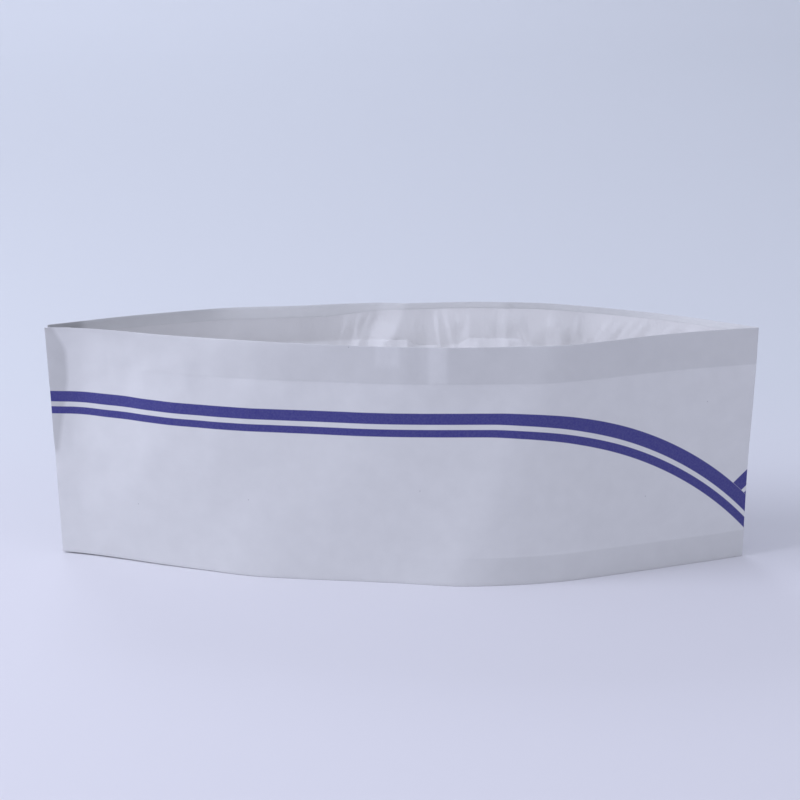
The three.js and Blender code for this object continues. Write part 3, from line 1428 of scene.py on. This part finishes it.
FAR_PLEATS = (
    Pleat(50, width=24, fall=50, rise=0.8, lean=0.2, taper=9),
    Pleat(114, width=1.3, fall=4, rise=0.25, lean=0.2),
    Pleat(119, width=1.3, fall=3, rise=0.3, lean=0.2),
    Pleat(121.3, width=1.3, fall=3, rise=0.3, lean=0.4),
    Pleat(121.5, width=12.5, fall=70, rise=1.6, lean=0.7, taper=12),
    Pleat(121.5, width=12, fall=30, rise=0.7, lean=0.7, taper=6),
    Pleat(138, width=48, fall=24, rise=0.9, taper=12),
    Pleat(153, width=1.2, fall=4, rise=0.5, lean=-0.16),
    Pleat(157.6, width=1.4, fall=3.5, rise=0.55, lean=-0.24),
    Pleat(160.5, width=5, fall=12, rise=0.6, taper=4),
    Pleat(176.2, width=3.5, fall=9, rise=0.5, taper=4),
    Pleat(187, width=3, fall=4, rise=0.45, lean=-0.9),
    Pleat(189, width=7, fall=24, rise=0.3, taper=5),
    Pleat(196, width=2, fall=12, rise=0.45, low=84, taper=4),
    Pleat(207, width=1.2, fall=2, rise=0.2),
    Pleat(211.5, width=0.8, fall=2, rise=0.25, lean=0.9),
    Pleat(215, width=0.8, fall=1.8, rise=0.25, lean=1.0),
    Pleat(221, width=0.9, fall=3, rise=0.28, lean=0.8),
    Pleat(226, width=0.9, fall=3, rise=0.25, lean=0.8),
    Pleat(230, width=34, fall=8, rise=1.1, taper=8),
    Pleat(236, width=1, fall=4, rise=0.28, lean=0.9),
    Pleat(243, width=1, fall=4, rise=0.25, lean=1.0),
    Pleat(252, width=3, fall=6, rise=0.4),
)


@dataclass
class CrownTissue:
    """The tissue crown: a flap glued inside each top hem, and a V-shaped pleat between them.

    Attributes:
        start: How far from the back fold the tissue begins, in millimetres.
        end: How far from it the tissue ends.
        glue_top: Height of the glued flaps' top edge.
        glue_foot: Height where the tissue comes free, which is its knee.
        short_top: How much lower the far flap's top edge is towards the back.
        short_along: Where it is lower, by paper distance.
        knee_drop: How much lower the far knee hangs in a few stretches.
        drops: Paper distances of those stretches' ends.
        drop_blur: How gently each begins and ends.
        side: How wide the tissue is from a knee to the bottom of the pleat.
        flap_shade_reach: How far the painted light and shade reaches below the far flap.
        wall_depth: How far inside the band's outer face the flaps lie.
        belly: How far the hanging sides sag.
        clearance: The share of the gap between the sides that always stays open.
        knee_turn: Where the tissue's face turns from the wall's to the slope's, past the flap.
        room_width: Half the gap in which the relief has its full size.
        least_room: The share of the relief that is left where the sides meet.
        gather_level: How far the gathers stand off on the whole.
        gather_pull: How much the gathers are drawn out down the tissue.
        gather_shift: How far from the near side's gathers the far side's are taken.
        crumple_shift: The same for the crumples.
        freed: How free of the glue the tissue is, past the flap.
        crumple_grows: How strong the crumples are there.
        fine_grows: How strong the fine crumples are there.
        glue_lift: How far the glued flap stands off the wall.
        held: Where the top edge is glued flat, by distance down.
        calm: How rough the far side is, by paper distance.
        flattened: How the gathers end at the bottom of the pleat.
        smoothed: How the crumples do.
    """

    shape: BentStrip
    start: float = 13.0
    end: float = 269.8
    thickness: float = 0.08
    glue_top: float = 92.5
    glue_foot: float = 80.0
    short_top: float = 2.3
    short_along: Span = Span(108, 140, before=1, after=0)
    knee_drop: float = 2.7
    drops: tuple[tuple[float, float], ...] = ((143, 163), (188, 228))
    drop_blur: Span = Span(-3, 3)
    side: float = 44.0
    flap_shade_reach: float = 9.0
    wall_depth: float = 0.66
    belly: float = 3.4
    clearance: float = 0.25
    knee_turn: Span = Span(-1.5, 2.5)
    room_width: float = 14.0
    least_room: float = 0.12
    column: float = 0.62
    row: float = 1.3
    gathers: Waves = Waves(11, 26, 1.1, seed=21, spread=0.5)
    gather_level: float = 0.6
    gather_pull: float = 0.6
    gather_shift: float = 500.0
    crumple: Facets = Facets(570, 115, size=7, stretch=1.5, height=0.34, seed=33)
    fine_crumple: Facets = Facets(570, 115, size=3.2, stretch=1.4, height=0.14, seed=45)
    crumple_shift: float = 300.0
    freed: Span = Span(-1, 12)
    crumple_grows: Span = Span(-1, 12, before=0.5, after=1.8)
    fine_grows: Span = Span(-1, 12, before=1, after=1.6)
    glue_lift: Span = Span(-1, 12, before=0.3, after=0)
    held: Span = Span(0, 6)
    calm: Span = Span(105, 125, before=0.3)
    flattened: Span = Span(-9, 0, before=1, after=0)
    smoothed: Span = Span(-9, 0, before=1, after=0.4)
    pleats: tuple[Pleat, ...] = FAR_PLEATS

    @property
    def flap(self) -> float:
        """How wide each glued flap is."""
        return self.glue_top - self.glue_foot

    @property
    def width(self) -> float:
        """How wide the flat tissue is."""
        return 2 * (self.flap + self.side)

    def relief(self, along: Array, down: Array, far: Array) -> Array:
        """How far the tissue stands off its plain folds, in millimetres towards the hat's middle.

        Args:
            along: Paper distances from the back.
            down: Distances down the tissue from its glued top edge.
            far: True on the far panel's side.

        Returns:
            The distance for each point.
        """
        knee, bottom = self.flap, self.flap + self.side
        gathered = self.gathers.at(along + self.gather_shift * far, down * self.gather_pull)
        gathered = (self.gather_level - np.abs(gathered)) * self.freed.moved(knee).smooth(down)
        gathered *= self.flattened.moved(bottom).smooth(down)
        at = (along + self.crumple_shift * far, np.where(far, self.width - down, down))
        creased = self.crumple.at(*at) * self.crumple_grows.moved(knee).smooth(down)
        creased += self.fine_crumple.at(*at) * self.fine_grows.moved(knee).smooth(down)
        rough = (creased + self.glue_lift.moved(knee).smooth(down)) * self.held.smooth(down)
        rough *= self.smoothed.moved(bottom).smooth(down) * np.where(far, self.calm.smooth(along), 1)
        pleated = sum(pleat.at(along, self.glue_top - down) for pleat in self.pleats)
        return gathered + rough + np.where(far, pleated, 0)

    def dropped(self, along: Array) -> Array:
        """One in each stretch where the far knee hangs lower, and zero elsewhere."""
        blur = self.drop_blur
        return sum(blur.moved(a).smooth(along) - blur.moved(b).smooth(along) for a, b in self.drops)

    def folding(self, from_start: Array, across: Array) -> Array:
        """Puts points of the flat tissue in their places in the hat.

        Args:
            from_start: Distances along the flat tissue.
            across: Distances across it, from the near flap's top edge.

        Returns:
            An array of X, Y and Z in millimetres.
        """
        along = from_start + self.start
        far = across > self.width / 2
        down = np.where(far, self.width - across, across)
        depth = np.full_like(along, self.wall_depth)
        near_foot = np.full_like(along, self.glue_foot)
        far_foot = near_foot - self.knee_drop * self.dropped(along)
        full = 2 * self.shape.panel
        top = self.glue_top - np.where(far, self.short_top * self.short_along.smooth(along), 0)
        height = top - (top - np.where(far, far_foot, near_foot)) * np.clip(down / self.flap, 0, 1)
        wall = self.shape.place(np.where(far, full - along, along), height, depth)
        near_knee = self.shape.place(along, near_foot, depth)
        far_knee = self.shape.place(full - along, far_foot, depth)
        knee = np.where(far[:, None], far_knee, near_knee)
        bottom = (near_knee + far_knee) / 2
        half_gap = np.linalg.norm(far_knee - near_knee, axis=1) / 2
        bottom[:, 2] -= np.sqrt(self.side**2 - half_gap**2)
        share = np.clip((down - self.flap) / self.side, 0, 1)
        run = bottom - knee
        hanging = knee + run * share[:, None]
        place = np.where((down > self.flap)[:, None], hanging, wall)
        slope = unit(np.cross((1.0, 0.0, 0.0), run))
        slope *= np.sign(slope[:, 2:3])
        inward = unit(run * (1, 1, 0))
        turn = self.knee_turn.moved(self.flap).smooth(down)[:, None]
        normal = unit(inward * (1 - turn) + slope * turn)
        room = np.clip(half_gap / self.room_width, self.least_room, 1)
        off = self.relief(along, down, far) * room
        off -= self.belly * room * np.sin(math.pi * share)
        upright = np.sqrt(1 - (half_gap / self.side) ** 2)
        free_way = (1 - self.clearance) * half_gap * share / upright
        return place + normal * np.maximum(off, -free_way)[:, None]

    def build(self) -> bpy.types.Object:
        """Makes the crown.

        Returns:
            The finished piece, riding on the hat's body in place of its solid.
        """
        length = self.end - self.start
        across = (self.flap, self.width / 2, self.width - self.flap)
        sheet = FlatSheet("crown_sheet", length, self.width, self.column, self.row, scores_across=across)
        piece = sheet.cut()
        sheet.fold(piece, self.folding)
        # Where the far flap's painted light and shade lie.
        flap_shade_band = Span(-self.flap_shade_reach, 0).moved(self.width - self.flap)
        tissue = CrepeTissue("creped_tissue", self.start, length, self.width, flap_shade_band)
        piece.data.materials.append(tissue.material())
        sheet.thicken(piece, self.thickness, back_slot=0)
        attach(piece, "root")
        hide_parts("crown_tissue")
        return piece


@dataclass(frozen=True)
class SweepPaper:
    """A matt studio backdrop of pale paper, a little cooler further back.

    Attributes:
        change: Where the colour changes, in metres behind the hat's middle.
    """

    name: str
    front_colour: str = "#E3E2E4"
    back_colour: str = "#E0E3E4"
    change: Span = Span(-0.02, 0.24)
    roughness: float = 0.9
    specular: float = 0.2

    def material(self) -> bpy.types.Material:
        """Makes the material.

        Returns:
            The finished material.
        """
        made, tree, shader = start_material(self.name, self.roughness)
        shader.inputs["Specular IOR Level"].default_value = self.specular
        where = node(tree, "TexCoord")
        parts = node(tree, "SeparateXYZ", {0: where.outputs["Object"]})
        share = node(tree, "MapRange", self.change.of(parts.outputs["Y"]))
        colours = {COLOUR_A: linear(self.front_colour), COLOUR_B: linear(self.back_colour)}
        mixed = node(tree, "Mix", {0: share, **colours}, data_type="RGBA")
        tree.links.new(mixed.outputs[COLOUR_OUT], shader.inputs["Base Color"])
        return made


@dataclass(frozen=True)
class SoftBox:
    """A square soft lamp that faces the hat, or another aim. Sizes are in metres and watts."""

    name: str
    place: tuple[float, float, float]
    size: float
    power: float
    aim: tuple[float, float, float] = (0.0, 0.0, 0.045)


SOFT_BOXES = (
    SoftBox("key_softbox", (-1.19, -0.318, 0.9), size=0.68, power=13.4),
    SoftBox("fill_softbox", (1.256, -0.725, 0.726), size=1.0, power=2.6),
    SoftBox("backdrop_softbox", (-0.7, 1.7, 1.6), size=1.0, power=9.5, aim=(-0.7, 1.8, 0.0)),
)


@dataclass
class Studio:
    """The plain floor with its backdrop, the soft lamps and the camera. Sizes are in metres.

    Attributes:
        floor_half: Half the width of the floor.
        wall_at: How far behind the hat the backdrop's wall stands.
        cove: The rounding between floor and wall.
        tint: The colour of the lamps and of the air.
        camera_pitch: How far the camera looks down, in degrees.
        focal_pixels: Its focal length, in pixels of an image of image_pixels.
        sensor: Its sensor's width in millimetres.
        nearest: Where its view begins.
    """

    floor_half: float = 4.0
    wall_at: float = 2.2
    wall_height: float = 2.0
    cove: float = 0.7
    cove_segments: int = 24
    tint: str = "#E5E9FF"
    sky_strength: float = 0.626
    soft_boxes: tuple[SoftBox, ...] = SOFT_BOXES
    camera_place: tuple[float, float, float] = (-0.00035, -0.70125, 0.2925)
    camera_pitch: float = 18.02
    focal_pixels: float = 1892.0
    image_pixels: float = 800.0
    sensor: float = 36.0
    nearest: float = 0.01

    @staticmethod
    def choose_back_edge(sweep: bpy.types.Object) -> None:
        """Leaves only the floor's back edge selected.

        Args:
            sweep: The backdrop, open in edit mode.
        """
        bpy.ops.mesh.select_all(action="DESELECT")
        bpy.ops.object.mode_set(mode="OBJECT")
        for edge in sweep.data.edges:
            ends = [sweep.data.vertices[i].co for i in edge.vertices]
            edge.select = all(end.y > 0 and end.z < MM for end in ends)
        bpy.ops.object.mode_set(mode="EDIT")

    def backdrop(self) -> bpy.types.Object:
        """Bends a sheet into a floor, a rounded cove and a wall.

        Returns:
            The backdrop.
        """
        bpy.ops.mesh.primitive_plane_add(size=2 * self.floor_half)
        sweep = bpy.context.active_object
        sweep.name = sweep.data.name = "backdrop"
        in_edit_mode(sweep)
        bpy.ops.mesh.select_mode(type="EDGE")
        self.choose_back_edge(sweep)
        bpy.ops.transform.translate(value=(0, self.wall_at - self.floor_half, 0))
        bpy.ops.mesh.extrude_region_move(TRANSFORM_OT_translate={"value": (0, 0, self.wall_height)})
        self.choose_back_edge(sweep)
        bpy.ops.mesh.bevel(offset=self.cove, segments=self.cove_segments, affect="EDGES")
        bpy.ops.object.mode_set(mode="OBJECT")
        bpy.ops.object.shade_smooth()
        sweep.data.materials.append(SweepPaper("matt_backdrop_paper").material())
        return sweep

    def light(self) -> None:
        """Sets the even light from all round and hangs the lamps."""
        world = bpy.data.worlds.new("studio_air")
        world.use_nodes = True
        sky = world.node_tree.nodes["Background"]
        sky.inputs["Color"].default_value = linear(self.tint)
        sky.inputs["Strength"].default_value = self.sky_strength
        bpy.context.scene.world = world
        for box in self.soft_boxes:
            bpy.ops.object.light_add(type="AREA", location=box.place)
            lamp = bpy.context.active_object
            lamp.name = lamp.data.name = box.name
            lamp.data.size = box.size
            lamp.data.energy = box.power
            lamp.data.color = linear(self.tint)[:3]
            facing = Vector(box.aim) - Vector(box.place)
            lamp.rotation_euler = facing.to_track_quat("-Z", "Y").to_euler()

    def camera(self) -> None:
        """Sets the camera at the height, distance and tilt that the hat's outline was seen from."""
        bpy.ops.object.camera_add(location=self.camera_place)
        camera = bpy.context.active_object
        camera.name = "camera"
        camera.rotation_euler = (math.radians(90 - self.camera_pitch), 0, 0)
        camera.data.sensor_width = self.sensor
        camera.data.lens = self.sensor * self.focal_pixels / self.image_pixels
        camera.data.clip_start = self.nearest
        bpy.context.scene.camera = camera

    def build(self) -> None:
        """Makes the backdrop, the lamps and the camera."""
        self.backdrop()
        self.light()
        self.camera()
        bpy.context.scene.view_settings.view_transform = "Standard"


def main() -> None:
    """Builds the studio and the hat in order and reports each piece."""
    logging.basicConfig(level=logging.INFO, format="%(message)s")
    Studio().build()
    shape = BentStrip()
    for part in (SideBand(shape), CrownTissue(shape)):
        piece = part.build()
        LOG.info("%s: %d faces", piece.name, len(piece.data.polygons))


if __name__ == "__main__":
    main()
